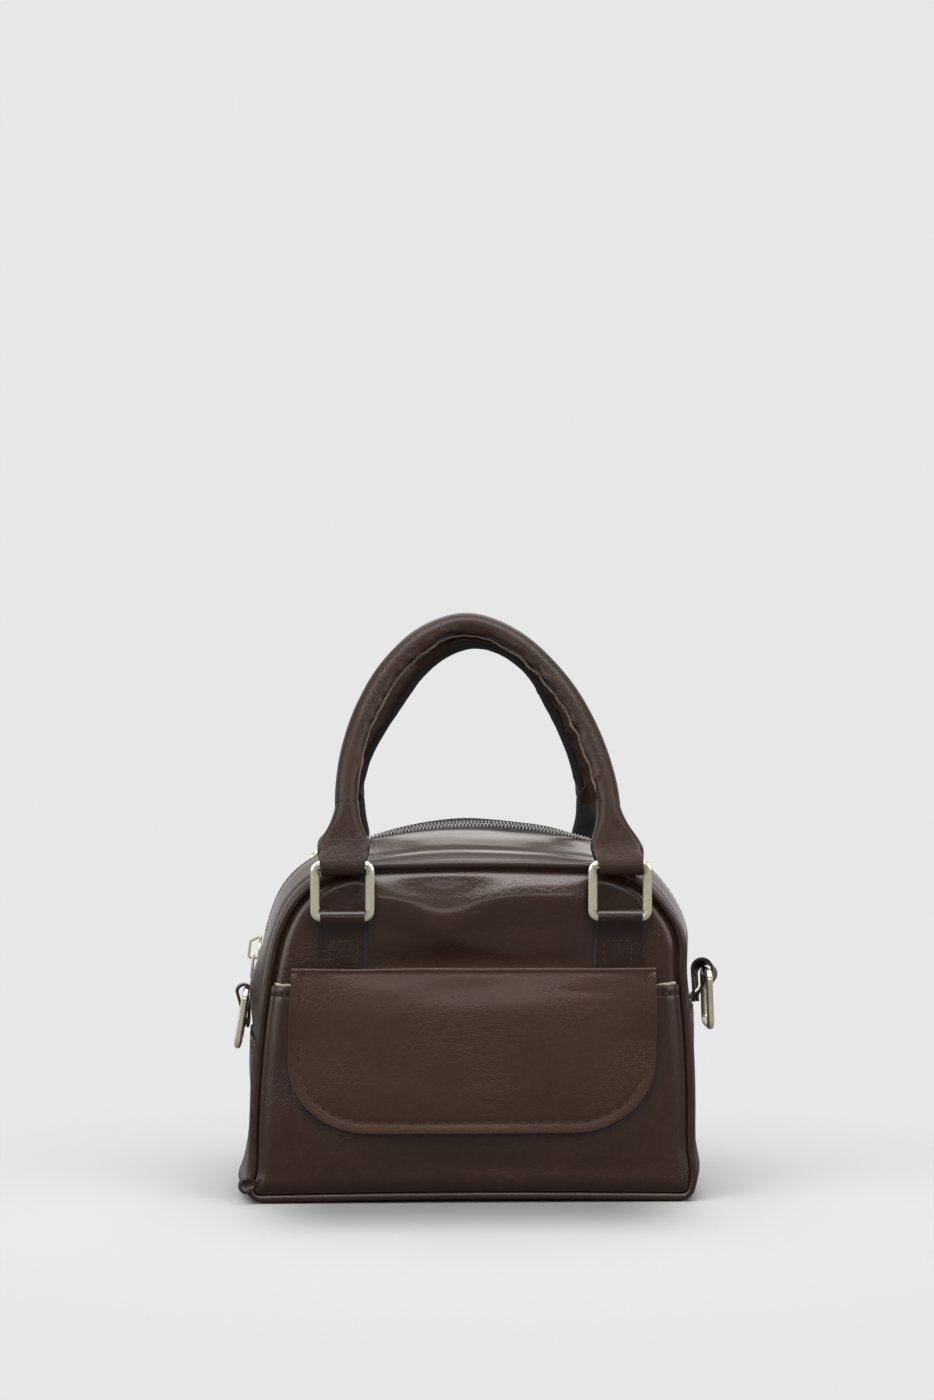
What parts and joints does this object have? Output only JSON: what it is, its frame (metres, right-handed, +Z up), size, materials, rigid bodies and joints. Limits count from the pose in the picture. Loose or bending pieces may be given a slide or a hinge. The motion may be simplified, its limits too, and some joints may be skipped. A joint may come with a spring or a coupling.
{
  "type": "crossbody bag",
  "caption": "Domed zip-top bag with a flap pocket, piped edges, ring-hung folding handles and side rings for a strap.",
  "frame": {"origin": "middle of the base's underside, which stands on the ground", "axes": "+Z up, -Y towards the flap pocket at the front, +X to the right as seen from the front"},
  "size_m": [0.2344, 0.1058, 0.2775],
  "materials": {
    "front_panel": "coated, semi-gloss",
    "back_panel": "coated, semi-gloss",
    "base_gusset": "coated, semi-gloss",
    "zip_band_front": "coated, semi-gloss",
    "zip_band_rear": "coated, semi-gloss",
    "pocket_panel": "coated, semi-gloss",
    "flap_panel": "coated, semi-gloss",
    "flap_seam_strip": "coated, semi-gloss",
    "front_tab_left": "coated, semi-gloss",
    "front_tab_right": "coated, semi-gloss",
    "rear_tab_left": "coated, semi-gloss",
    "rear_tab_right": "coated, semi-gloss",
    "side_tab_left": "coated, semi-gloss",
    "side_tab_right": "coated, semi-gloss",
    "front_handle_cover": "coated, semi-gloss",
    "rear_handle_cover": "coated, semi-gloss",
    "front_piping": "coated, semi-gloss",
    "rear_piping": "coated, semi-gloss",
    "front_ring_left": "polished pale gold plating",
    "front_ring_right": "polished pale gold plating",
    "rear_ring_left": "polished pale gold plating",
    "rear_ring_right": "polished pale gold plating",
    "side_ring_left": "polished pale gold plating",
    "side_ring_right": "polished pale gold plating",
    "zipper_slider": "polished pale gold plating",
    "zipper_puller": "polished pale gold plating",
    "snap_stud": "polished pale gold plating",
    "snap_socket": "polished pale gold plating",
    "front_handle_core": "matt",
    "rear_handle_core": "matt",
    "zipper_tape_front": "woven",
    "zipper_tape_rear": "woven",
    "zipper_coil_front": "pale coil",
    "zipper_coil_rear": "pale coil",
    "flap_lining": "matt",
    "pocket_lining": "cream cloth",
    "lining_front": "matt cloth",
    "lining_back": "matt cloth",
    "lining_gusset": "matt cloth",
    "base_board": "matt"
  },
  "bodies": {
    "bag": {"front_panel": "front_panel", "back_panel": "back_panel", "base_gusset": "base_gusset", "zip_band_front": "zip_band_front", "zip_band_rear": "zip_band_rear", "pocket_panel": "pocket_panel", "flap_seam_strip": "flap_seam_strip", "front_tab_left": "front_tab_left", "front_tab_right": "front_tab_right", "rear_tab_left": "rear_tab_left", "rear_tab_right": "rear_tab_right", "side_tab_left": "side_tab_left", "side_tab_right": "side_tab_right", "front_piping": "front_piping", "rear_piping": "rear_piping", "snap_socket": "snap_socket", "zipper_tape_front": "zipper_tape_front", "zipper_tape_rear": "zipper_tape_rear", "zipper_coil_front": "zipper_coil_front", "zipper_coil_rear": "zipper_coil_rear", "pocket_lining": "pocket_lining", "lining_front": "lining_front", "lining_back": "lining_back", "lining_gusset": "lining_gusset", "base_board": "base_board"},
    "front_ring_left": {"front_ring_left": "front_ring_left"},
    "front_ring_right": {"front_ring_right": "front_ring_right"},
    "front_handle": {"front_handle_cover": "front_handle_cover", "front_handle_core": "front_handle_core"},
    "rear_ring_left": {"rear_ring_left": "rear_ring_left"},
    "rear_ring_right": {"rear_ring_right": "rear_ring_right"},
    "rear_handle": {"rear_handle_cover": "rear_handle_cover", "rear_handle_core": "rear_handle_core"},
    "flap": {"flap_panel": "flap_panel", "flap_lining": "flap_lining", "snap_stud": "snap_stud"},
    "side_ring_left": {"side_ring_left": "side_ring_left"},
    "side_ring_right": {"side_ring_right": "side_ring_right"},
    "slider": {"zipper_slider": "zipper_slider"},
    "puller": {"zipper_puller": "zipper_puller"}
  },
  "joints": [
    {"name": "front_ring_left_fold", "type": "hinge", "parent": "bag", "child": "front_ring_left", "pos_m": [-0.065, -0.0463, 0.1345], "axis": [1, 0, 0], "range_deg": [0, 145]},
    {"name": "front_ring_right_fold", "type": "hinge", "parent": "bag", "child": "front_ring_right", "pos_m": [0.065, -0.0463, 0.1345], "axis": [1, 0, 0], "range_deg": [0, 145]},
    {"name": "rear_ring_left_fold", "type": "hinge", "parent": "bag", "child": "rear_ring_left", "pos_m": [-0.065, 0.0463, 0.1345], "axis": [-1, 0, 0], "range_deg": [0, 145]},
    {"name": "rear_ring_right_fold", "type": "hinge", "parent": "bag", "child": "rear_ring_right", "pos_m": [0.065, 0.0463, 0.1345], "axis": [-1, 0, 0], "range_deg": [0, 145]},
    {"name": "front_handle_fold", "type": "hinge", "parent": "front_ring_left", "child": "front_handle", "pos_m": [0, -0.04823, 0.15902], "axis": [-1, 0, 0], "range_deg": [-100, 0]},
    {"name": "rear_handle_fold", "type": "hinge", "parent": "rear_ring_left", "child": "rear_handle", "pos_m": [0, 0.04823, 0.15902], "axis": [1, 0, 0], "range_deg": [-100, 0]},
    {"name": "flap_fold", "type": "hinge", "parent": "bag", "child": "flap", "pos_m": [0, -0.0506, 0.108], "axis": [1, 0, 0], "range_deg": [-120, 0]},
    {"name": "side_ring_left_swing", "type": "hinge", "parent": "bag", "child": "side_ring_left", "pos_m": [-0.10981, 0, 0.09583], "axis": [0, 1, 0], "range_deg": [0, 140]},
    {"name": "side_ring_right_swing", "type": "hinge", "parent": "bag", "child": "side_ring_right", "pos_m": [0.11321, 0, 0.10441], "axis": [0, -1, 0], "range_deg": [0, 140]},
    {"name": "slider_travel", "type": "hinge", "parent": "bag", "child": "slider", "pos_m": [-0.05091, 0, 0.11757], "axis": [0, 1, 0], "range_deg": [0, 65]},
    {"name": "puller_swing", "type": "hinge", "parent": "slider", "child": "puller", "pos_m": [-0.10682, 0, 0.1134], "axis": [0, 1, 0], "range_deg": [0, 105]}
  ],
  "couplings": [
    {"joint": "front_ring_right_fold", "follows": "front_ring_left_fold", "ratio": 1},
    {"joint": "rear_ring_right_fold", "follows": "rear_ring_left_fold", "ratio": 1}
  ]
}
